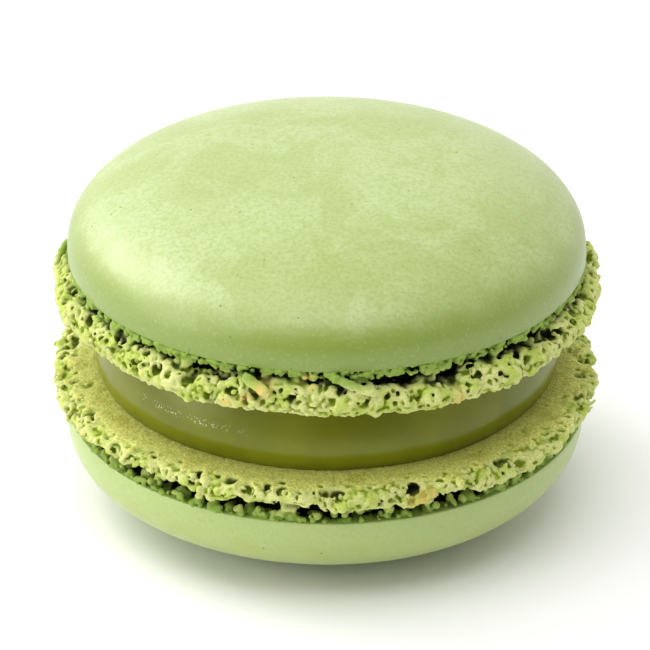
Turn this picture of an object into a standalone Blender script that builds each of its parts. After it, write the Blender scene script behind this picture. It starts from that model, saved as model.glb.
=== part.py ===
"""A French macaron: two baked almond shells with ruffled feet, held together by a disc of cream.

Metres, +Z up. The origin is on the floor, below the middle of the flat spot that the macaron rests on.
Each shell is one baked piece: a smooth domed cap over a lumpy foot, with a torn groove between them.
"""

import math
import random

import bmesh
import bpy
from mathutils import Matrix, Vector, noise

# ---- Driving dimensions ----------------------------------------------------------------------------
FOOT_RADIUS = 0.0224  # the widest part of a foot
LOWER_HEIGHT = 0.01126  # lower shell, from the floor to its flat baked face
FILLING_HEIGHT = 0.00629  # between the two flat baked faces
UPPER_HEIGHT = 0.01171  # upper shell, from its flat baked face to its crown
TOUCH_GAP = 0.0003  # left between pieces that touch

CAP_RADIUS = {"upper_shell": 0.02105, "lower_shell": 0.02125}
FOOT_HEIGHT = {"upper_shell": 0.0040, "lower_shell": 0.0032}
CAP_FULLNESS = {"upper_shell": 2.3, "lower_shell": 2.4}  # 2 is an ellipse, more is a squarer shoulder
CAP_SIDE = 0.0007  # the straight part of the cap's side, above its rim
REST_RADIUS = 0.0065  # the flat spot under the lower cap

FLAT_RADIUS = FOOT_RADIUS * 0.935  # the flat face that lay on the baking mat
GROOVE_RADIUS = FOOT_RADIUS * 0.875  # the floor of the torn groove under the cap's rim
FILLING_RADIUS = 0.01835  # where the cream meets the shells
FILLING_BULGE = 0.00045  # how far the pressed cream swells past that

SHELL_SEGMENTS = 80
CAP_RINGS = 9
FILLING_SEGMENTS = 60
FILLING_RINGS = 5

LUMP_HEIGHT = 0.0011  # the foot's lumps, in or out
LUMP_LENGTH = 0.0036  # from one lump to the next
POCKETS = 13  # torn pockets in the groove of each shell
POCKET_WIDTH = (0.0018, 0.0036)
POCKET_DEPTH = 0.0017
POCKET_HEIGHT = (0.0012, 0.0017)

SHELL_COLOUR = (0.50, 0.64, 0.26, 1.0)
CREAM_COLOUR = (0.20, 0.23, 0.03, 1.0)

LOWER_FACE = LOWER_HEIGHT
UPPER_FACE = LOWER_HEIGHT + FILLING_HEIGHT


# ---- Scene -----------------------------------------------------------------------------------------
def clear_scene():
    for obj in list(bpy.data.objects):
        bpy.data.objects.remove(obj, do_unlink=True)


def new_collection(name):
    collection = bpy.data.collections.new(name)
    bpy.context.scene.collection.children.link(collection)
    return collection


def matt_or_glossy(name, colour, roughness):
    material = bpy.data.materials.new(name)
    material.use_nodes = True
    shader = material.node_tree.nodes["Principled BSDF"]
    shader.inputs["Base Color"].default_value = colour
    shader.inputs["Roughness"].default_value = roughness
    shader.inputs["Metallic"].default_value = 0.0
    return material


# ---- Turned shapes ---------------------------------------------------------------------------------
def turned(name, profile, segments, material, collection):
    """Turns a profile of (radius, height), listed from top to bottom, about Z."""
    mesh = bpy.data.meshes.new(name)
    corners = [(radius, 0.0, height) for radius, height in profile]
    mesh.from_pydata(corners, [(i, i + 1) for i in range(len(corners) - 1)], [])
    mesh.materials.append(material)
    obj = bpy.data.objects.new(name, mesh)
    collection.objects.link(obj)
    screw = obj.modifiers.new("Turn", "SCREW")
    screw.steps = segments
    screw.render_steps = segments
    screw.use_merge_vertices = True
    screw.merge_threshold = 0.00002
    screw.use_smooth_shade = True
    return obj


def with_modifiers_applied(obj):
    """Gives obj the mesh that its modifiers make, so that its points can be moved one by one."""
    bpy.context.view_layer.update()
    graph = bpy.context.evaluated_depsgraph_get()
    made = bpy.data.meshes.new_from_object(obj.evaluated_get(graph))
    obj.modifiers.clear()
    obj.data = made
    return obj


# ---- Shells ----------------------------------------------------------------------------------------
def cap_profile(shell, height):
    """The smooth cap, from its crown to its rim, as (radius, height above the flat baked face)."""
    radius = CAP_RADIUS[shell]
    power = 2.0 / CAP_FULLNESS[shell]
    shoulder = FOOT_HEIGHT[shell] + CAP_SIDE
    crown = height - shoulder
    points = []
    for ring in range(1, CAP_RINGS + 1):
        turn = math.pi / 2 * ring / CAP_RINGS
        out = radius * math.sin(turn) ** power
        up = crown * max(0.0, math.cos(turn)) ** power
        points.append((out, shoulder + up))
    return [(0.0, height)] + points


def rested(profile, height):
    """Cuts the crown off at the height where its flat spot is REST_RADIUS wide."""
    kept = [point for point in profile if point[0] > REST_RADIUS * 1.15]
    return [(0.0, height), (REST_RADIUS, height)] + kept


def foot_profile(shell):
    """The groove under the rim, the foot's roll and the flat baked face, down to the middle."""
    rise = FOOT_HEIGHT[shell]
    rim = CAP_RADIUS[shell]
    share_of_foot = (
        (rim * 0.990, 1.00),
        (GROOVE_RADIUS + 0.0004, 0.985),
        (GROOVE_RADIUS, 0.92),
        (GROOVE_RADIUS + 0.0003, 0.85),
        (FOOT_RADIUS * 0.943, 0.81),
        (FOOT_RADIUS * 0.973, 0.71),
        (FOOT_RADIUS * 0.988, 0.55),
        (FOOT_RADIUS * 0.988, 0.34),
        (FOOT_RADIUS * 0.972, 0.15),
        (FOOT_RADIUS * 0.952, 0.03),
        (FLAT_RADIUS, 0.0),
        (0.0, 0.0),
    )
    return [(radius, rise * share) for radius, share in share_of_foot]


def ruffle(obj, shell, seed):
    """Pushes the foot's roll in and out in uneven lumps, never past FOOT_RADIUS."""
    rise = FOOT_HEIGHT[shell]
    offset = Vector((seed, 2.0 * seed, 3.0 * seed))
    for vertex in obj.data.vertices:
        point = vertex.co
        radius = math.hypot(point.x, point.y)
        share = point.z / rise
        if radius < FLAT_RADIUS * 0.999 or not 0.0 <= share < 0.85:
            continue
        lump = noise.noise(point / LUMP_LENGTH + offset)
        lump += 0.5 * noise.noise(point / (0.45 * LUMP_LENGTH) - offset)
        rolled = math.sin(math.pi * min(1.0, 0.2 + share)) ** 0.5
        wanted = radius + LUMP_HEIGHT * rolled * lump
        wanted = min(FOOT_RADIUS, max(FLAT_RADIUS, wanted))
        point.x *= wanted / radius
        point.y *= wanted / radius
        if share > 0.6:
            point.z += 0.3 * LUMP_HEIGHT * lump
    centre_on_axis(obj)


def centre_on_axis(obj):
    """Moves the points so that the middle of the piece's box is on the Z axis."""
    for axis in (0, 1):
        along = [vertex.co[axis] for vertex in obj.data.vertices]
        middle = (min(along) + max(along)) / 2
        for vertex in obj.data.vertices:
            vertex.co[axis] -= middle
    obj.data.update()


def groove_pockets(name, shell, seed, collection):
    """One mesh of flattened balls, set round the groove where the foam tore open as the shell rose."""
    chance = random.Random(seed)
    shape = bmesh.new()
    for number in range(POCKETS):
        angle = 2 * math.pi * (number + chance.uniform(-0.22, 0.22)) / POCKETS
        size = Vector((POCKET_DEPTH, chance.uniform(*POCKET_WIDTH) / 2, chance.uniform(*POCKET_HEIGHT) / 2))
        middle = Vector((FOOT_RADIUS * 0.955, 0.0, FOOT_HEIGHT[shell] * 0.80))
        place = Matrix.Rotation(angle, 4, "Z") @ Matrix.Translation(middle) @ Matrix.Diagonal(size.to_4d())
        bmesh.ops.create_icosphere(shape, subdivisions=2, radius=1.0, matrix=place)
    mesh = bpy.data.meshes.new(name)
    shape.to_mesh(mesh)
    shape.free()
    cutter = bpy.data.objects.new(name, mesh)
    collection.objects.link(cutter)
    cutter.hide_render = True
    cutter.display_type = "WIRE"
    return cutter


def build_shell(shell, height, seed, flipped, face_height, material, parts, cutters):
    """One baked shell. It is modelled with its flat baked face at zero and its crown up, then placed."""
    profile = cap_profile(shell, height)
    if flipped:
        profile = rested(profile, height)
    obj = turned(shell, profile + foot_profile(shell), SHELL_SEGMENTS, material, parts)
    with_modifiers_applied(obj)
    ruffle(obj, shell, seed)
    place = Matrix.Translation((0.0, 0.0, face_height))
    if flipped:
        place = place @ Matrix.Rotation(math.pi, 4, "X")
    cutter = groove_pockets(shell + "_pockets", shell, seed, cutters)
    cutter.matrix_world = place
    obj.matrix_world = place
    cut = obj.modifiers.new("Torn pockets", "BOOLEAN")
    cut.operation = "DIFFERENCE"
    cut.object = cutter
    obj.data.set_sharp_from_angle(angle=math.radians(60))
    return obj


# ---- Filling ---------------------------------------------------------------------------------------
def build_filling(material, parts):
    """The disc of cream, with a side that swells a little between the two shells."""
    top = UPPER_FACE - TOUCH_GAP
    bottom = LOWER_FACE + TOUCH_GAP
    profile = [(0.0, top)]
    for ring in range(FILLING_RINGS + 1):
        share = ring / FILLING_RINGS
        swell = FILLING_BULGE * math.sin(math.pi * share) ** 0.7
        profile.append((FILLING_RADIUS + swell, top + (bottom - top) * share))
    profile.append((0.0, bottom))
    return turned("filling", profile, FILLING_SEGMENTS, material, parts)


def main():
    clear_scene()
    parts = new_collection("french_macaron")
    cutters = new_collection("cutters")
    baked = matt_or_glossy("baked_shell", SHELL_COLOUR, 0.75)
    cream = matt_or_glossy("green_cream", CREAM_COLOUR, 0.25)
    build_shell("upper_shell", UPPER_HEIGHT, 5, False, UPPER_FACE, baked, parts, cutters)
    build_filling(cream, parts)
    build_shell("lower_shell", LOWER_HEIGHT, 11, True, LOWER_FACE, baked, parts, cutters)


main()
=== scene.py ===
import math

import bpy
import numpy as np
from mathutils import Euler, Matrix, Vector


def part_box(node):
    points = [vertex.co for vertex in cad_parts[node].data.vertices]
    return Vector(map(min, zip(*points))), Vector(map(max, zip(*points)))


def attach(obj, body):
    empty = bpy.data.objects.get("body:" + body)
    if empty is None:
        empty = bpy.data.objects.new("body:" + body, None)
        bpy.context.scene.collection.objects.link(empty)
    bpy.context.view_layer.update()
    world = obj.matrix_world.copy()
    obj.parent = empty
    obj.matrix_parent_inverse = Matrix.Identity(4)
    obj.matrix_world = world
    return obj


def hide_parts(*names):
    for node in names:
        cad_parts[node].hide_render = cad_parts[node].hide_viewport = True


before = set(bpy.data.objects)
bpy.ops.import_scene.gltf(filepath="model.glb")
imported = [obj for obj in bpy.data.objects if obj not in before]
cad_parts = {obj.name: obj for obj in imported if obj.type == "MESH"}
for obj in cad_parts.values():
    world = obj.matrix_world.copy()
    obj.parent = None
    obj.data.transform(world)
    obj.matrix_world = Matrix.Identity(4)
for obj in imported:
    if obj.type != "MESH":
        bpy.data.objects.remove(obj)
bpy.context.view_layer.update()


# ---- Lower shell: the foot -------------------------------------------------------------------------
# The foot is the collar of almond foam that bubbles out from under the cap while the shell bakes on its
# flat face. Its roll is lumpy and full of round pores, and above it the foam tears into dark pockets.
# It is built as distances to its surface, on a grid of angle, radius and height, in millimetres.

CRUMB = 0.13  # the finest crumb that is modelled, and the grid's step
FOAM_INNER = 17.1  # the grid's radii
FOAM_OUTER = 23.3
FOAM_ABOVE = 0.9  # how far the grid runs on above the cap's rim
ROLL_MIDDLE = 19.7  # radius of the middle of the roll
NECK_OUT = 19.3  # radius of the neck behind the pockets
CORE_OUT = 17.3  # nothing is made inside this radius, which the cream and the cap hide
INTO_CAP = 0.35  # how far the foam runs on into the cap
CLEFTS = 120  # how many of each the foam gets all the way round
KNOBS = 1300
EDGE_GRAINS = 1300
CAVITIES = 85
SMALL_LUMPS = 1100
FOOT_TRIANGLES = 190_000


class Foam:
    """A ring of baked foam. Heights run from the flat baked face, at zero, towards the cap."""

    def __init__(self, inner, outer, high, seed):
        self.turns = round(math.tau * outer / CRUMB)
        self.step = math.tau / self.turns
        self.inner = inner
        self.lowest = -3 * CRUMB
        self.out = np.arange(inner, outer, CRUMB)[None, :, None]
        self.up = np.arange(self.lowest, high, CRUMB)[None, None, :]
        self.chance = np.random.default_rng(seed)
        self.gap = None

    def size(self):
        return self.turns, self.out.size, self.up.size

    def wander(self, length, axes=(0, 1, 2)):
        """Random values from -1 to 1 that ease into each other over the given length."""
        cells = [self.size()[axis] * (self.out.max() * self.step if axis == 0 else CRUMB) / length
                 for axis in range(3)]
        counts = [max(2, round(cells[0]))] + [int(cell) + 3 for cell in cells[1:]]
        values = self.chance.uniform(-1, 1, [counts[a] if a in axes else 1 for a in range(3)])
        for axis in axes:
            count, places = counts[axis], self.size()[axis]
            along = np.arange(places) * (count / places if axis == 0 else CRUMB / length)
            before = np.floor(along).astype(int)
            ease = along - before
            ease = ease * ease * (3 - 2 * ease)
            share = np.zeros((places, count), np.float32)
            share[np.arange(places), before % count] += 1 - ease
            share[np.arange(places), (before + 1) % count] += ease
            values = np.moveaxis(np.tensordot(share, values.astype(np.float32), (1, axis)), 0, axis)
        return values

    def around(self, angle, out, up, reach):
        """The grid places within reach of a point, and how far each is from it along the three ways."""
        turn = reach / (out * self.step)
        spans = []
        middles = (angle / self.step, (out - self.inner) / CRUMB, (up - self.lowest) / CRUMB)
        for axis, (middle, half) in enumerate(zip(middles, (turn, reach / CRUMB, reach / CRUMB))):
            low, high = math.floor(middle - half), math.ceil(middle + half) + 1
            if axis:
                low, high = max(low, 0), min(high, self.size()[axis])
            spans.append(np.arange(low, high))
        place = np.ix_(spans[0] % self.turns, spans[1], spans[2])
        across = ((spans[0] - middles[0]) * out * self.step)[:, None, None]
        outward = ((spans[1] - middles[1]) * CRUMB)[None, :, None]
        upward = ((spans[2] - middles[2]) * CRUMB)[None, None, :]
        return place, across, outward, upward

    def grow(self, angle, out, up, radius, wide=1.0, tall=1.0, melt=0.12):
        """Adds a ball of foam, which melts into what is there."""
        place, across, outward, upward = self.around(angle, out, up, radius * max(1.0, wide, tall) + melt)
        ball = np.sqrt((across / wide) ** 2 + outward**2 + (upward / tall) ** 2) - radius
        self.gap[place] = melted(self.gap[place], ball, melt)

    def burst(self, angle, out, up, radius, wide=1.0, tall=1.0):
        """Opens a round bubble in the foam."""
        place, across, outward, upward = self.around(angle, out, up, radius * max(1.0, wide, tall) + 0.1)
        bubble = np.sqrt((across / wide) ** 2 + outward**2 + (upward / tall) ** 2) - radius
        self.gap[place] = np.maximum(self.gap[place], -bubble)

    def skin(self):
        """The foam's surface, as grid places and faces of four. One point goes in each cell it crosses."""
        solid = self.gap < 0
        turns, outs, ups = self.size()
        corners = [(a, b, c) for a in (0, 1) for b in (0, 1) for c in (0, 1)]
        held = np.zeros((turns, outs - 1, ups - 1), np.int8)
        for a, b, c in corners:
            held += np.roll(solid, -a, 0)[:, b:outs - 1 + b, c:ups - 1 + c]
        crossed = (held > 0) & (held < 8)
        cells = np.argwhere(crossed)
        number = np.full(crossed.shape, -1, np.int64)
        number[crossed] = np.arange(len(cells))
        at = {corner: self.gap[(cells[:, 0] + corner[0]) % turns, cells[:, 1] + corner[1],
                               cells[:, 2] + corner[2]] for corner in corners}
        total, count = np.zeros((len(cells), 3)), np.zeros(len(cells))
        for low in corners:
            for axis in range(3):
                if low[axis]:
                    continue
                high = tuple(1 if a == axis else low[a] for a in range(3))
                cut = (at[low] < 0) != (at[high] < 0)
                share = np.where(cut, at[low] / np.where(cut, at[low] - at[high], 1), 0)
                point = np.tile(np.array(low, float), (len(cells), 1))
                point[:, axis] = share
                total += point * cut[:, None]
                count += cut
        points = cells + total / count[:, None]

        faces = []
        before = np.roll(number, 1, 0)
        inner = (slice(None), slice(1, -1), slice(1, -1))
        edges = (
            (solid, np.roll(solid, -1, 0), inner,
             (number[:, :-1, :-1], number[:, 1:, :-1], number[:, 1:, 1:], number[:, :-1, 1:])),
            (solid[:, :-1], solid[:, 1:], (slice(None), slice(None), slice(1, -1)),
             (before[:, :, :-1], before[:, :, 1:], number[:, :, 1:], number[:, :, :-1])),
            (solid[:, :, :-1], solid[:, :, 1:], (slice(None), slice(1, -1), slice(None)),
             (before[:, :-1], number[:, :-1], number[:, 1:], before[:, 1:])),
        )
        for here, there, window, ring in edges:
            here, there = here[window], there[window]
            for cut, turned in ((here & ~there, False), (there & ~here, True)):
                quad = np.stack([cell[cut] for cell in ring], axis=1)
                faces.append(quad[:, ::-1] if turned else quad)
        return points, np.concatenate(faces)

    def read(self, values, places):
        """The value of a grid at points between its places."""
        result = np.zeros(len(places))
        low = np.floor(places).astype(int)
        share = places - low
        for a in (0, 1):
            for b in (0, 1):
                for c in (0, 1):
                    weight = abs(1 - a - share[:, 0]) * abs(1 - b - share[:, 1]) * abs(1 - c - share[:, 2])
                    result += weight * values[(low[:, 0] + a) % self.turns,
                                              np.clip(low[:, 1] + b, 0, values.shape[1] - 1),
                                              np.clip(low[:, 2] + c, 0, values.shape[2] - 1)]
        return result


def melted(first, second, reach):
    """The nearer of two surfaces, rounded where they meet."""
    blend = np.maximum(reach - np.abs(first - second), 0) / reach
    return np.minimum(first, second) - blend * blend * reach / 4


def averaged(values, reach):
    """Each place's average over the cells around it, out to reach cells along each way."""
    for axis in range(3):
        mode = "wrap" if axis == 0 else "edge"
        padded = np.pad(values, [(reach + 1, reach) if a == axis else (0, 0) for a in range(3)], mode=mode)
        sums = np.cumsum(padded, axis=axis, dtype=np.float64)
        size = values.shape[axis]
        values = (np.take(sums, range(2 * reach + 1, 2 * reach + 1 + size), axis)
                  - np.take(sums, range(size), axis)) / (2 * reach + 1)
    return values


def largest_piece(points, faces):
    """Leaves out loose crumbs and bubbles sealed inside the foam."""
    label = np.arange(len(points))
    ends = np.concatenate([faces[:, [0, 1]], faces[:, [1, 2]], faces[:, [2, 3]], faces[:, [3, 0]]])
    while True:
        lowest = np.minimum(label[ends[:, 0]], label[ends[:, 1]])
        linked = label.copy()
        np.minimum.at(linked, ends[:, 0], lowest)
        np.minimum.at(linked, ends[:, 1], lowest)
        linked = linked[linked]
        if (linked == label).all():
            break
        label = linked
    keep = label == np.bincount(label).argmax()
    order = np.cumsum(keep) - 1
    return points[keep], order[faces[keep[faces[:, 0]]]]


def mesh_of(name, points, faces):
    """A mesh from arrays of points, in metres, and of faces that all have as many corners."""
    mesh = bpy.data.meshes.new(name)
    mesh.vertices.add(len(points))
    mesh.vertices.foreach_set("co", points.astype(np.float32).ravel())
    mesh.loops.add(faces.size)
    mesh.loops.foreach_set("vertex_index", faces.astype(np.int32).ravel())
    mesh.polygons.add(len(faces))
    mesh.polygons.foreach_set("loop_start", np.arange(0, faces.size, faces.shape[1], dtype=np.int32))
    mesh.update(calc_edges=True)
    mesh.validate()
    return mesh


def new_piece(name, mesh, finish):
    piece = bpy.data.objects.new(name, mesh)
    bpy.context.scene.collection.objects.link(piece)
    mesh.materials.append(finish)
    mesh.shade_smooth()
    return piece


def foot_foam(seed, rise, roll_top, roll_out, cap_out, knuckles, knuckle_size, struts, mounds,
              mound_size, crumbs, flakes, pits=270, pores=600, open_from=-5, big_holes=()):
    """The foam of one foot: its roll, the pockets torn above it and the crumbs under the cap's rim."""
    foam = Foam(FOAM_INNER, FOAM_OUTER, rise + FOAM_ABOVE, seed)
    chance = foam.chance
    top = roll_top + 0.65 * foam.wander(3.6, (0,)) + 0.35 * foam.wander(1.5, (0,))
    reach = roll_out - ROLL_MIDDLE - 0.55 + 0.25 * foam.wander(5.0, (0,)) + 0.3 * foam.wander(1.9, (0, 2))
    roll = np.hypot((foam.out - ROLL_MIDDLE) / reach, (foam.up - top / 2) / (top / 2))
    roll = 1.5 * (roll - 1) + 0.2 * foam.wander(0.95) + 0.14 * foam.wander(2.1)
    neck = foam.out - NECK_OUT - 0.4 * foam.wander(1.3)
    foam.gap = melted(roll, neck + np.zeros_like(roll), 0.2)
    ledge = np.maximum(rise + 0.02 + 0.22 * foam.wander(0.7, (0, 1)) - foam.up,
                       foam.out - cap_out + 0.3 + 0.15 * foam.wander(0.6, (0,)))
    foam.gap = melted(foam.gap, ledge, 0.15)

    def on_roll(turn, lean, sink):
        """A point on the roll, as a radius and a height, sunk a little into the foam. A lean below zero is
        towards the flat baked face, and one above zero is towards the cap."""
        place = round(turn / foam.step) % foam.turns
        crown, wide = top[place, 0, 0], reach[place, 0, foam.up.size // 2]
        return (ROLL_MIDDLE + (wide - sink) * math.cos(lean),
                crown / 2 + (crown / 2 - sink) * math.sin(lean))

    def scatter(count, low, high):
        """Random places on the roll, as a turn and a lean. The lean's limits are in degrees."""
        for _ in range(count):
            yield chance.uniform(0, math.tau), math.radians(chance.uniform(low, high))

    for turn, lean in scatter(knuckles, 0, 80):  # the big knuckles along the roll's shoulder
        radius = knuckle_size * chance.uniform(0.6, 1.1)
        foam.grow(turn, *on_roll(turn, lean, 0.6 * radius), radius, wide=chance.uniform(0.8, 1.5), melt=0.08)
    for turn, lean in scatter(CLEFTS, 0, 80):  # clefts between the knuckles
        foam.burst(turn, *on_roll(turn, lean, chance.uniform(-0.1, 0.15)), chance.uniform(0.25, 0.4),
                   wide=chance.uniform(0.6, 1.0), tall=chance.uniform(1.2, 2.2))
    for turn, lean in scatter(KNOBS, -58, 95):  # the knobs that make it look like a cauliflower
        radius = 0.18 + 0.32 * chance.random() ** 2
        foam.grow(turn, *on_roll(turn, lean, chance.uniform(0.1, 0.7) * radius), radius,
                  wide=chance.uniform(0.8, 1.3), melt=0.05)

    for number in range(struts):  # foam that still joins the roll to the cap, with pockets between
        turn = math.tau / struts * (number + chance.uniform(-0.45, 0.45))
        width = chance.uniform(0.008, 0.034)
        for _ in range(chance.integers(5, 13)):
            foam.grow(turn + chance.normal(0, width), chance.uniform(20.0, cap_out - 0.4),
                      chance.uniform(roll_top - 0.5, rise), chance.uniform(0.22, 0.46),
                      wide=chance.uniform(0.8, 1.4), melt=0.06)
    for turn, lean in scatter(EDGE_GRAINS, -88, -15):  # grains along the edge of the flat face
        radius = chance.uniform(0.1, 0.2)
        foam.grow(turn, *on_roll(turn, lean, chance.uniform(0.0, 0.8) * radius), radius, melt=0.03)
    for start, end, radius in flakes:  # flakes of crust that lie across the pockets
        for share in np.linspace(0, 1, 16):
            turn, out, up = (first + share * (last - first) for first, last in zip(start, end))
            foam.grow(math.radians(turn) + chance.normal(0, 0.002), out, up,
                      radius * chance.uniform(0.85, 1.1), melt=0.05)

    for _ in range(mounds):  # lumps left on the cap where the foam tore
        radius = mound_size * chance.uniform(0.6, 1.15)
        foam.grow(chance.uniform(0, math.tau), cap_out - 0.1 - radius * chance.uniform(1.0, 2.2),
                  rise + 0.15 - radius * chance.uniform(0.4, 1.0), radius,
                  wide=chance.uniform(0.8, 1.5), melt=0.06)
    for _ in range(crumbs):  # crumbs torn off along the cap's rim
        radius = 0.1 + 0.22 * chance.random() ** 1.6
        foam.grow(chance.uniform(0, math.tau), cap_out + 0.02 - radius - 0.45 * chance.random() ** 2,
                  rise + 0.18 - radius - 0.6 * chance.random() ** 1.6, radius, melt=0.04)

    for turn, lean in scatter(CAVITIES, open_from, 70):  # wide cavities where bubbles ran into each other
        for _ in range(chance.integers(2, 5)):
            foam.burst(turn + chance.normal(0, 0.016),
                       *on_roll(turn, lean + chance.normal(0, 0.16), chance.uniform(-0.15, 0.35)),
                       chance.uniform(0.26, 0.5), wide=chance.uniform(0.7, 1.3))
    for turn, lean in scatter(pits, open_from - 20, 75):  # round pits
        foam.burst(turn, *on_roll(turn, lean, chance.uniform(-0.1, 0.2)), chance.uniform(0.17, 0.3),
                   wide=chance.uniform(0.8, 1.25))
    for turn, lean in scatter(pores, -32, 75):  # pores
        foam.burst(turn, *on_roll(turn, lean, chance.uniform(-0.2, 0.15)), 0.1 + 0.1 * chance.random())

    for turn, lean in scatter(SMALL_LUMPS, -50, 85):  # small lumps, also down in the cavities
        radius = 0.13 + 0.17 * chance.random() ** 2
        foam.grow(turn, *on_roll(turn, lean, chance.uniform(0.0, 0.45)), radius,
                  wide=chance.uniform(0.8, 1.3), melt=0.03)
    for turn, out, up, radius in big_holes:  # single large bubbles that burst last
        foam.burst(math.radians(turn), out, up, radius, wide=1.15)

    foam.gap = foam.gap + 0.1 * foam.wander(0.5) + 0.08 * foam.wander(0.28)
    foam.gap = np.maximum(foam.gap, 0.06 * foam.wander(0.28, (0, 1)) - foam.up)
    foam.gap = np.maximum(foam.gap, np.maximum(CORE_OUT - foam.out, foam.up - rise - INTO_CAP))
    return foam


def build_foot(name, foam, face, upward, rise, cap_out, toasted, finish):
    """Skins the foam, thins the mesh where it is flat, and notes where each point lies: down a pit, in a
    hollow, towards the middle, towards the cap, or on a toasted spot. The finish paints shade from the
    first three."""
    points, faces = largest_piece(*foam.skin())
    angle = foam.step * points[:, 0]
    out = foam.inner + CRUMB * points[:, 1]
    up = foam.lowest + CRUMB * points[:, 2]
    place = 0.001 * np.stack([out * np.sin(angle), -out * np.cos(angle), upward * up], axis=1)
    place[:, 2] += face
    corner = place[faces]
    normal = np.cross(corner[:, 2] - corner[:, 0], corner[:, 3] - corner[:, 1])
    if (normal * corner.mean(1)).sum() < 0:
        faces = faces[:, ::-1]
    foot = new_piece(name, mesh_of(name, place, faces), finish)
    thin = foot.modifiers.new("thin", "DECIMATE")
    thin.ratio = min(1.0, FOOT_TRIANGLES / (2 * len(faces)))
    bpy.context.view_layer.update()
    made = bpy.data.meshes.new_from_object(foot.evaluated_get(bpy.context.evaluated_depsgraph_get()))
    foot.modifiers.clear()
    made.validate()
    foot.data = made
    made.shade_smooth()

    where = np.empty(3 * len(made.vertices))
    made.vertices.foreach_get("co", where)
    x, y, z = where.reshape(-1, 3).T * 1000
    out = np.hypot(x, y)
    angle = np.arctan2(x, -y) % math.tau
    up = upward * (z - 1000 * face)
    spot = np.stack([angle / foam.step, (out - foam.inner) / CRUMB, (up - foam.lowest) / CRUMB], 1)
    # how walled in each point is, with the cap counted as solid, sets the painted shade in pits and pockets
    solid = foam.gap < 0
    solid |= (foam.up > rise - 0.05) & (foam.out < cap_out - 0.3)
    solid = solid.astype(np.float32)

    def walled_in(reach, least):
        """How much foam stands round each point, out to reach cells, from 0 in the open to 1."""
        return np.clip((foam.read(averaged(solid, reach), spot) - least) / 0.4, 0, 1)

    notes = {
        "pit": walled_in(2, 0.34),
        "hollow": walled_in(7, 0.36),
        "inward": np.clip((22.0 - out) / 2.6, 0, 1),
        "towards_cap": np.clip(up / rise, 0, 1),
        "toasted": np.zeros(len(x)),
    }
    for turn, height, radius in toasted:
        turned = (angle - math.radians(turn) + math.pi) % math.tau - math.pi
        near = 1.4 - np.hypot(turned * out, up - height) / radius
        notes["toasted"] = np.maximum(notes["toasted"], np.clip(near, 0, 1) * (out > 20.5))
    for kind, values in notes.items():
        made.attributes.new(kind, "FLOAT", "POINT").data.foreach_set("value", values.astype(np.float32))
    return foot


def colour(red, green, blue):
    """A colour in the usual 0 to 255 steps, as the shader wants it."""
    steps = [value / 255 for value in (red, green, blue)]
    return tuple(s / 12.92 if s <= 0.04045 else ((s + 0.055) / 1.055) ** 2.4 for s in steps) + (1.0,)


def new_finish(name, roughness, specular=0.5):
    finish = bpy.data.materials.new(name)
    finish.use_nodes = True
    shader = finish.node_tree.nodes["Principled BSDF"]
    shader.inputs["Roughness"].default_value = roughness
    shader.inputs["Specular IOR Level"].default_value = specular
    return finish, finish.node_tree, shader


def add(tree, kind, inputs, **settings):
    """Adds a shader node. Each input is a number, a colour or another node's output."""
    node = tree.nodes.new(kind)
    for key, value in settings.items():
        setattr(node, key, value)
    for key, value in inputs.items():
        if isinstance(value, bpy.types.NodeSocket):
            tree.links.new(value, node.inputs[key])
        else:
            node.inputs[key].default_value = value
    return node


def noise(tree, size, detail=2.0, distortion=0.0, rough=0.5):
    """Soft noise whose lumps are about the given size, in millimetres."""
    place = add(tree, "ShaderNodeTexCoord", {}).outputs["Object"]
    return add(tree, "ShaderNodeTexNoise", {"Vector": place, "Scale": 1000 / size, "Detail": detail,
                                            "Roughness": rough, "Distortion": distortion}).outputs["Fac"]


def spread(tree, value, low, high, to_low=0.0, to_high=1.0):
    """Stretches the part of a value between low and high, and cuts off the rest."""
    return add(tree, "ShaderNodeMapRange", {"Value": value, "From Min": low, "From Max": high,
                                            "To Min": to_low, "To Max": to_high},
               interpolation_type="SMOOTHSTEP").outputs["Result"]


def times(tree, first, second):
    return add(tree, "ShaderNodeMath", {0: first, 1: second}, operation="MULTIPLY").outputs["Value"]


def blended(tree, share, first, second):
    """Goes from the first colour to the second as the share goes from 0 to 1."""
    node = add(tree, "ShaderNodeMix", {"Factor": share}, data_type="RGBA")
    for socket, value in (("A_Color", first), ("B_Color", second)):
        target = next(s for s in node.inputs if s.identifier == socket)
        if isinstance(value, bpy.types.NodeSocket):
            tree.links.new(value, target)
        else:
            target.default_value = value
    return next(s for s in node.outputs if s.identifier == "Result_Color")


def note(tree, name):
    """One of the values that are kept at each point of the foot's mesh."""
    return add(tree, "ShaderNodeAttribute", {}, attribute_name=name).outputs["Fac"]


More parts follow.
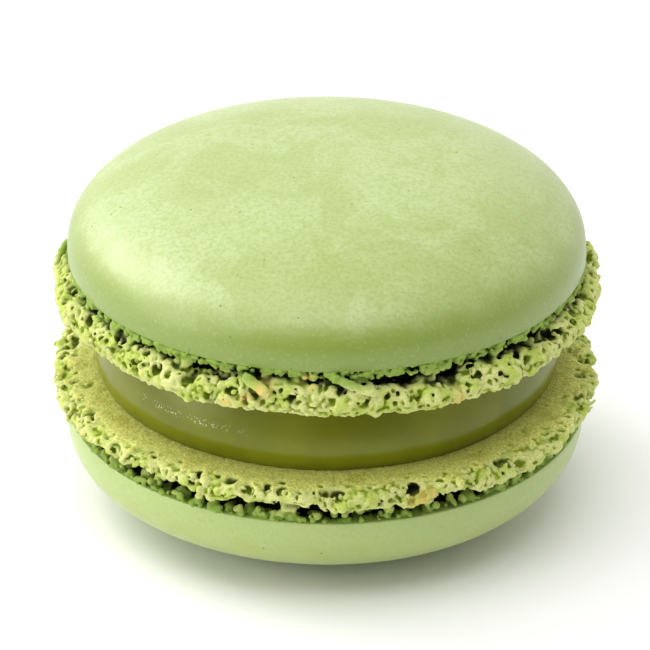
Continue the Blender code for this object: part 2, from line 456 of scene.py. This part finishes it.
def foam_finish(name, pale, green, deep, dark, baked, torn, toast):
    """Baked foam: pale where the oven dried it, greener in places, golden and sandy on its flat baked face,
    the colour of the cap where it tore from it, and toasted in a few spots. Shade is painted in too: a
    deeper green in the pits and pores, partly the foam's own green, nearly black far inside the pockets,
    and a darker flat face towards the cream."""
    finish, tree, shader = new_finish(name, 0.75, 0.2)
    inward = note(tree, "inward")
    towards_cap = note(tree, "towards_cap")
    tone = blended(tree, spread(tree, noise(tree, 1.6, 3), 0.42, 0.64), pale, green)
    flat = baked
    flat_marks = (
        (2.6, 4, 0.52, 0.7, 0.6, colour(196, 187, 82)),  # browner patches
        (0.22, 2, 0.4, 0.7, 0.6, colour(158, 156, 48)),  # dark sandy grains
        (0.17, 1, 0.56, 0.68, 0.8, colour(248, 248, 182)),  # pale sandy grains
    )
    for size, detail, low, high, share, mark in flat_marks:
        flat = blended(tree, spread(tree, noise(tree, size, detail), low, high, 0.0, share), flat, mark)
    # painted shade: the flat baked face grows darker towards the cream, in under the shells
    flat = blended(tree, spread(tree, inward, 0.1, 1.0, 0.0, 0.4), flat, colour(152, 150, 48))
    # painted shade in pits and pores: a deeper green where the foam walls a point in, partly its own green
    tone = blended(tree, spread(tree, note(tree, "pit"), 0.24, 0.66), tone, deep)
    tone = blended(tree, spread(tree, towards_cap, 0.07, 0.0), tone, flat)
    tone = blended(tree, spread(tree, towards_cap, 0.62, 0.92), tone, torn)
    tone = blended(tree, spread(tree, noise(tree, 0.16, 2), 0.32, 0.68, 0.0, 0.3), tone, deep)
    browned = times(tree, note(tree, "toasted"), spread(tree, noise(tree, 0.5, 3), 0.35, 0.6))
    tone = blended(tree, browned, tone, toast)
    # painted shade: nearly black deep in the pockets, where the foam walls a point in, away from the flat
    # face
    inside = times(tree, spread(tree, note(tree, "hollow"), 0.18, 0.65), spread(tree, inward, 0.1, 0.55))
    inside = times(tree, inside, spread(tree, towards_cap, 0.02, 0.14))
    tone = blended(tree, inside, tone, dark)
    tree.links.new(tone, shader.inputs["Base Color"])
    grain = add(tree, "ShaderNodeBump", {"Height": noise(tree, 0.2, 3), "Strength": 0.7, "Distance": 0.00012})
    tree.links.new(grain.outputs["Normal"], shader.inputs["Normal"])
    return finish


lower_low, lower_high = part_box("lower_shell")
lower_face = lower_high[2]
LOWER_RISE = 3.2  # from the flat baked face to the cap's rim
LOWER_CAP_OUT = 21.25
# Turns are in degrees from the front. A flake has its two ends, each a turn, a radius and a height, and
# half its thickness. A hole has a turn, a radius, a height and its own radius, and a toasted spot
# has a turn, a height and its own radius.
lower_flakes = [((16.4, 22.1, 1.15), (22.8, 22.0, 0.75), 0.42)]
lower_holes = [(19.0, 21.9, 0.4, 0.6), (19.0, 21.1, 0.75, 0.62), (-38.0, 22.0, 0.7, 0.5),
               (44.0, 22.1, 0.8, 0.55)]
lower_toasted = [(19.9, 1.05, 0.62), (22.2, 0.8, 0.5), (17.6, 1.2, 0.45), (-61, 0.9, 0.5), (140, 1.0, 0.7)]
lower_foam = foot_foam(21, LOWER_RISE, 1.7, 22.75, LOWER_CAP_OUT, knuckles=110, knuckle_size=0.62, struts=26,
                       mounds=50, mound_size=0.62, crumbs=700, flakes=lower_flakes, open_from=-54,
                       big_holes=lower_holes)
# deep is the painted shade in the pits and also a random dark grain; dark is the painted shade in pockets
foot_finish = foam_finish("baked_foam", pale=colour(219, 222, 146), green=colour(192, 207, 100),
                          deep=colour(126, 146, 22), dark=colour(14, 24, 2), baked=colour(240, 239, 138),
                          torn=colour(141, 170, 77), toast=colour(220, 195, 108))
lower_foot = build_foot("lower_foot", lower_foam, lower_face, -1, LOWER_RISE, LOWER_CAP_OUT, lower_toasted,
                        foot_finish)
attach(lower_foot, "root")
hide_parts("lower_shell")


# ---- Lower shell: the cap --------------------------------------------------------------------------
# The cap is the smooth skin that dries on the piped batter before it bakes. It is a low dome with a
# straight side and a small lip, and this one stands on its crown. Its skin is matt, faintly mottled,
# with fine grains of almond and pinholes.

CAP_TURNS = 300
CAP_RINGS = 90
CAP_SIDE = 0.7  # height of the straight side above the rim
LIP = 0.13  # radius of the lip round the rim
LIP_RINGS = 8
HIGH_SIDE = math.radians(150)  # where a cap may rise higher, counted from the front towards +X


def cap_outline(rise, height, cap_out, fullness):
    """Half of the cap's outline, in millimetres above the flat baked face, from its crown to its core."""
    shoulder = rise + CAP_SIDE
    outline = []
    for ring in range(CAP_RINGS + 1):
        lean = math.pi / 2 * ring / CAP_RINGS
        outline.append((cap_out * math.sin(lean) ** (2 / fullness),
                        shoulder + (height - shoulder) * max(0.0, math.cos(lean)) ** (2 / fullness)))
    for ring in range(1, LIP_RINGS + 1):
        lean = math.pi / 2 * ring / LIP_RINGS
        outline.append((cap_out - LIP + LIP * math.cos(lean), rise + LIP - LIP * math.sin(lean)))
    core = [(19.6, rise + 0.05), (18.5, rise - 0.2), (18.4, 0.1), (12.0, 0.05), (0.0, 0.05)]
    return outline + core


def turned_piece(name, points, finish, flipped):
    """A closed round piece. Its points are rows, one for each step round, from one pole to the other."""
    turns, rings = points.shape[:2]
    around, along = np.meshgrid(np.arange(turns), np.arange(rings - 1), indexing="ij")
    following = (around + 1) % turns
    faces = np.stack([around * rings + along, around * rings + along + 1,
                      following * rings + along + 1, following * rings + along], axis=-1).reshape(-1, 4)
    if flipped:
        faces = faces[:, ::-1]
    piece = new_piece(name, mesh_of(name, points.reshape(-1, 3), faces), finish)
    weld = piece.modifiers.new("weld", "WELD")
    weld.merge_threshold = 0.00001
    return piece


def build_cap(name, outline, face, upward, finish, flat=0.0, seed=0, raised=0.0):
    """Turns the outline about Z, then lets the skin sink and swell a little, as it does in the oven. Flat
    is how much of the crown is levelled off, and raised is how much higher one side rose."""
    chance = np.random.default_rng(seed)
    turn = math.tau * np.arange(CAP_TURNS) / CAP_TURNS
    out = np.array([point[0] for point in outline])[None, :]
    up = np.array([point[1] for point in outline])[None, :] + 0 * turn[:, None]
    swell = sum(chance.normal(0, 0.05 / wave) * np.cos(wave * turn + chance.uniform(0, 6.3))
                for wave in range(1, 7))[:, None]
    outer = np.arange(len(outline)) <= CAP_RINGS
    out = out + swell * outer * (out / 21) ** 2
    up = up + 0.6 * swell * outer * (out / 21) ** 2 * (up > 5)
    high_side = 0.5 * (1 + np.cos(turn - HIGH_SIDE))[:, None]
    up = up + raised * high_side * outer * np.clip(out / 12, 0, 1) ** 2 * np.clip((up - 4.7) / 3, 0, 1)
    if flat:
        top = up.max() - flat
        up = np.where(up > top, top + 0.02 * (up - top), up)
    x = out * np.sin(turn)[:, None]
    y = -out * np.cos(turn)[:, None]
    points = 0.001 * np.stack([x, y, upward * up], axis=-1)
    points[..., 2] += face
    return turned_piece(name, points, finish, flipped=upward < 0)


def dots(tree, place, per_metre, core, edge):
    """Small round spots, one to a cell, that fade out from their core to their edge."""
    cells = add(tree, "ShaderNodeTexVoronoi", {"Vector": place, "Scale": per_metre}, feature="F1")
    return spread(tree, cells.outputs["Distance"], core, edge, 1.0, 0.0)


def cap_finish(name, pale, warm, shaded_skirt, olive, rim_height, upward):
    """The dried skin: two greens that run into each other, with almond grains, green flecks and pinholes.
    Light is painted in as well: the paler greens on top stand in for a sheen, the side below the shoulder
    is painted in shade, olive shade lies towards +X and round the shoulder, and the pinholes are dark dots
    of shade."""
    finish, tree, shader = new_finish(name, 0.42, 0.8)
    shader.inputs["Coat Weight"].default_value = 0.25
    shader.inputs["Coat Roughness"].default_value = 0.45
    shader.inputs["Sheen Weight"].default_value = 0.15
    shader.inputs["Sheen Roughness"].default_value = 0.4
    place = add(tree, "ShaderNodeTexCoord", {}).outputs["Object"]
    ways = add(tree, "ShaderNodeSeparateXYZ", {"Vector": place}).outputs
    height = ways["Z"]

    def over_rim(millimetres):
        """A height on the cap, counted from its rim towards its crown."""
        return rim_height + upward * 0.001 * millimetres

    tone = blended(tree, spread(tree, noise(tree, 6.5, 5, 0.8, 0.6), 0.42, 0.62), pale, warm)
    tone = blended(tree, spread(tree, noise(tree, 1.9, 5, 0.5, 0.65), 0.46, 0.68, 0.0, 0.6), tone, warm)
    # painted shade: more olive towards +X, the side that the room lights less
    tone = blended(tree, spread(tree, ways["X"], 0.004, 0.02, 0.0, 0.24), tone, olive)
    # painted light: below the shoulder the side takes the shaded skirt colour, and the paler greens on top
    # stand in for a sheen
    low = spread(tree, height, over_rim(1.8), over_rim(4.2), 1.0, 0.0)
    tone = blended(tree, low, tone, shaded_skirt)
    # painted shade: a patchy olive ring round the shoulder, where the sheen on top gives out
    shoulder_shade = times(tree, spread(tree, height, over_rim(1.4), over_rim(2.8)),
                 spread(tree, height, over_rim(3.0), over_rim(4.8), 1.0, 0.0))
    patchy = spread(tree, noise(tree, 3.0, 4, 0.5), 0.35, 0.62)
    tone = blended(tree, times(tree, times(tree, shoulder_shade, patchy), 0.55), tone, olive)
    tone = blended(tree, spread(tree, noise(tree, 0.34, 4, 0.0, 0.7), 0.42, 0.64, 0.0, 0.46), tone, olive)
    specks = spread(tree, noise(tree, 0.26, 2), 0.56, 0.72, 0.0, 0.12)
    tone = blended(tree, specks, tone, colour(204, 218, 152))
    flecks = dots(tree, place, 160.0, 0.025, 0.06)
    tone = blended(tree, times(tree, flecks, 0.8), tone, colour(140, 172, 20))
    # the pinholes are only a bump; their dark dots are painted shade inside them
    pinholes = dots(tree, place, 480.0, 0.03, 0.065)
    tone = blended(tree, times(tree, pinholes, 0.75), tone, colour(74, 92, 40))
    tree.links.new(tone, shader.inputs["Base Color"])
    peel = add(tree, "ShaderNodeBump", {"Height": noise(tree, 0.5, 4), "Strength": 0.3, "Distance": 0.0001})
    sunk = add(tree, "ShaderNodeBump", {"Height": pinholes, "Strength": 0.3, "Distance": 0.0001,
                                        "Normal": peel.outputs["Normal"]}, invert=True)
    tree.links.new(sunk.outputs["Normal"], shader.inputs["Normal"])
    return finish


LOWER_FLAT = 0.45  # how much of the dome's crown is levelled, so that the macaron stands
DOME_OVER = 0.44  # how much higher the dome is before that
lower_height = 1000 * (lower_high[2] - lower_low[2])
# the shaded skirt colour, and the olive on the +X side and round the shoulder, are painted shade
lower_skin = cap_finish("lower_cap_skin", pale=colour(170, 189, 106), warm=colour(160, 179, 91),
                        shaded_skirt=colour(166, 188, 106), olive=colour(164, 176, 80),
                        rim_height=lower_face - 0.001 * LOWER_RISE, upward=-1)
lower_outline = cap_outline(LOWER_RISE, lower_height + DOME_OVER, LOWER_CAP_OUT, 2.4)
lower_cap = build_cap("lower_cap", lower_outline, lower_face, -1, lower_skin, flat=LOWER_FLAT, seed=3)
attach(lower_cap, "root")
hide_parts("lower_shell")


# ---- Filling ---------------------------------------------------------------------------------------
# A thick disc of olive-green cream, piped onto the lower shell and pressed flat by the upper one, so
# that its side swells a little. It is dense, smooth and softly glossy.

FILLING_OUT = 18.85
FILLING_TURNS = 360
FILLING_ROWS = 40
WIDEST = 0.72  # how far down its side the cream swells most
TOP_IN = 1.6  # how much narrower it is at the upper shell
BASE_IN = 0.65  # and at the lower one
INTO_SHELL = 0.1  # the cream runs this far past the shells' flat faces, because it sticks to them
upper_low, upper_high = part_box("upper_shell")
upper_face = upper_low[2]


def build_filling(finish):
    """Turns the swollen side, and lets it wander in and out as piped cream does."""
    chance = np.random.default_rng(8)
    turn = math.tau * np.arange(FILLING_TURNS)[:, None] / FILLING_TURNS
    share = np.linspace(0, 1, FILLING_ROWS + 1)[None, :]
    drift = sum(chance.normal(0, 0.07 / math.sqrt(wave)) * np.cos(wave * turn + chance.uniform(0, 6.3))
                for wave in range(2, 12))
    under = (share - WIDEST) / (1 - WIDEST)
    over = np.clip(1 - share / WIDEST, 0, 1)
    out = FILLING_OUT - np.where(share < WIDEST, TOP_IN * over**1.5, BASE_IN * under**2) + drift
    bottom = 1000 * lower_face - INTO_SHELL
    top = 1000 * upper_face + INTO_SHELL
    up = top + (bottom - top) * share + 0 * turn
    points = np.stack([out * np.sin(turn), -out * np.cos(turn), up], axis=-1)
    crown = np.zeros((FILLING_TURNS, 1, 3))
    crown[..., 2] = top
    base = np.zeros((FILLING_TURNS, 1, 3))
    base[..., 2] = bottom
    points = 0.001 * np.concatenate([crown, points, base], axis=1)
    return turned_piece("filling_cream", points, finish, flipped=False)


def cream_finish():
    """Olive cream with a soft gloss, and a short line of sugar grains near its upper edge."""
    finish, tree, shader = new_finish("green_cream", 0.3, 0.55)
    shader.inputs["Specular Tint"].default_value = (0.8, 1.0, 0.6, 1.0)
    patchy = spread(tree, noise(tree, 5.0, 3), 0.35, 0.7)
    tone = blended(tree, patchy, colour(116, 119, 10), colour(102, 105, 4))
    place = add(tree, "ShaderNodeTexCoord", {}).outputs["Object"]
    ways = add(tree, "ShaderNodeSeparateXYZ", {"Vector": place}).outputs
    sugar_line = spread(tree, noise(tree, 0.7, 1), 0.3, 0.55)
    limits = (("Z", 0.0138, 0.0141), ("Z", 0.0146, 0.0143), ("X", -0.0155, -0.014),
              ("X", -0.005, -0.009), ("Y", -0.006, -0.008))  # where the line fades in, in metres
    for way, bare, sugared in limits:
        sugar_line = times(tree, sugar_line, spread(tree, ways[way], bare, sugared))
    grains = times(tree, sugar_line, dots(tree, place, 4800.0, 0.2, 0.42))
    tone = blended(tree, times(tree, grains, 0.85), tone, colour(222, 228, 190))
    tree.links.new(tone, shader.inputs["Base Color"])
    wave = add(tree, "ShaderNodeBump", {"Height": noise(tree, 1.6, 2), "Strength": 0.15, "Distance": 0.0002})
    tree.links.new(wave.outputs["Normal"], shader.inputs["Normal"])
    return finish


filling = build_filling(cream_finish())
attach(filling, "root")
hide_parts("filling")


# ---- Upper shell: the foot -------------------------------------------------------------------------
# The twin of the lower foot, the right way up and pressed onto the cream. Its flat baked face is down,
# its roll hangs over the cream, and flakes of crust lie across the pockets under the cap's rim.

UPPER_RISE = 4.0
UPPER_CAP_OUT = 21.1
upper_flakes = [((2.0, 21.3, 3.6), (9.6, 22.1, 2.6), 0.33), ((-17.0, 21.5, 3.3), (-12.5, 22.0, 2.5), 0.4),
                ((118, 21.4, 3.5), (123, 22.0, 2.7), 0.36), ((-96, 21.3, 3.4), (-90, 22.0, 2.8), 0.3)]
upper_toasted = [(-13.4, 2.6, 0.8), (-3.8, 3.3, 0.6), (-17, 1.5, 0.5), (28.5, 0.9, 0.6), (-21, 0.9, 0.5),
                 (170, 2.0, 0.7), (-120, 1.6, 0.6)]
upper_foam = foot_foam(47, UPPER_RISE, 2.5, 22.5, UPPER_CAP_OUT, knuckles=120, knuckle_size=0.85, struts=32,
                       mounds=60, mound_size=0.45, crumbs=1700, flakes=upper_flakes, pits=130, pores=380)
upper_foot = build_foot("upper_foot", upper_foam, upper_face, 1, UPPER_RISE, UPPER_CAP_OUT, upper_toasted,
                        foot_finish)
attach(upper_foot, "root")
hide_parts("upper_shell")


# ---- Upper shell: the cap --------------------------------------------------------------------------
# The dome on top, of the same dried skin as the lower one. It rose a little higher at the back right.
# An olive band round its shoulder and its darker side below it are painted shade.

upper_height = 1000 * (upper_high[2] - upper_low[2])
# the shaded skirt colour, and the olive on the +X side and round the shoulder, are painted shade
upper_skin = cap_finish("upper_cap_skin", pale=colour(167, 186, 116), warm=colour(155, 174, 91),
                        shaded_skirt=colour(123, 147, 42), olive=colour(132, 147, 38),
                        rim_height=upper_face + 0.001 * UPPER_RISE, upward=1)
upper_outline = cap_outline(UPPER_RISE, upper_height, UPPER_CAP_OUT - 0.05, 2.3)
upper_cap = build_cap("upper_cap", upper_outline, upper_face, 1, upper_skin, seed=5, raised=0.3)
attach(upper_cap, "root")
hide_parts("upper_shell")


# ---- Table, light and camera -----------------------------------------------------------------------
# The macaron stands on a plain white table. A window and its gleam are at the back left, a white card at
# the left, a soft box overhead, and the room gives pale light from the back and the sides. The camera is
# far off with a long lens, looking down at it.

TABLE_HALF = 1.5
corners = np.array([(-1, -1, 0.0), (1, -1, 0.0), (1, 1, 0.0), (-1, 1, 0.0)])
table_mesh = mesh_of("table", TABLE_HALF * corners, np.array([[0, 1, 2, 3]]))
table_finish, _, table_shader = new_finish("white_table", 0.9, 0.1)
table_shader.inputs["Base Color"].default_value = (0.92, 0.92, 0.92, 1.0)
table = new_piece("table", table_mesh, table_finish)

sky = bpy.data.worlds.new("daylight")
bpy.context.scene.world = sky
sky.use_nodes = True
sky_tree = sky.node_tree
sky_light = sky_tree.nodes["Background"]
sky_light.inputs["Color"].default_value = (1.0, 1.0, 1.0, 1.0)
towards = add(sky_tree, "ShaderNodeTexCoord", {}).outputs["Generated"]
ways = add(sky_tree, "ShaderNodeSeparateXYZ", {"Vector": towards}).outputs
strength = spread(sky_tree, ways["Z"], 0.0, 1.0, 0.03, 0.45)
room = (("X", 0.2, -1.0, 0.65), ("X", 0.2, 1.0, 0.5), ("Y", -0.1, 0.9, 1.0))  # left, right and behind
for way, dark, bright, most in room:
    glow = spread(sky_tree, ways[way], dark, bright, 0.0, most)
    strength = add(sky_tree, "ShaderNodeMath", {0: strength, 1: glow}, operation="ADD").outputs["Value"]
sky_tree.links.new(strength, sky_light.inputs["Strength"])


def lamp(name, place, size, power, aim=(0.0, 0.0, 0.015)):
    light = bpy.data.lights.new(name, "AREA")
    light.shape = "DISK"
    light.size = size
    light.energy = power
    holder = bpy.data.objects.new(name, light)
    holder.location = place
    holder.rotation_euler = (Vector(aim) - Vector(place)).to_track_quat("-Z", "Y").to_euler()
    bpy.context.scene.collection.objects.link(holder)
    return holder


lamp("window", place=(-0.33, 0.18, 0.33), size=0.34, power=0.9)
gleam = lamp("gleam", place=(-0.34, 0.12, 0.29), size=0.2, power=0.5)
gleam.visible_diffuse = False  # it shows only as a gloss
lamp("soft_box", place=(-0.03, -0.13, 0.48), size=0.46, power=1.15)
lamp("white_card", place=(-0.36, -0.14, 0.13), size=0.26, power=0.5)

CAMERA_HEIGHT = math.radians(28.0)
CAMERA_ROLL = math.radians(0.32)
CAMERA_AWAY = 0.45
CAMERA_LENS = 304.6
camera_aim = Vector((-0.00013, 0.0, 0.0146))
camera_data = bpy.data.cameras.new("camera")
camera_data.lens = CAMERA_LENS
camera_data.sensor_width = 36.0
camera = bpy.data.objects.new("camera", camera_data)
bpy.context.scene.collection.objects.link(camera)
camera.location = camera_aim + CAMERA_AWAY * Vector((0, -math.cos(CAMERA_HEIGHT), math.sin(CAMERA_HEIGHT)))
camera.rotation_euler = (Euler((math.pi / 2 - CAMERA_HEIGHT, 0, 0)).to_matrix()
                         @ Euler((0, 0, CAMERA_ROLL)).to_matrix()).to_euler()
bpy.context.scene.camera = camera
bpy.context.scene.view_settings.view_transform = "Standard"
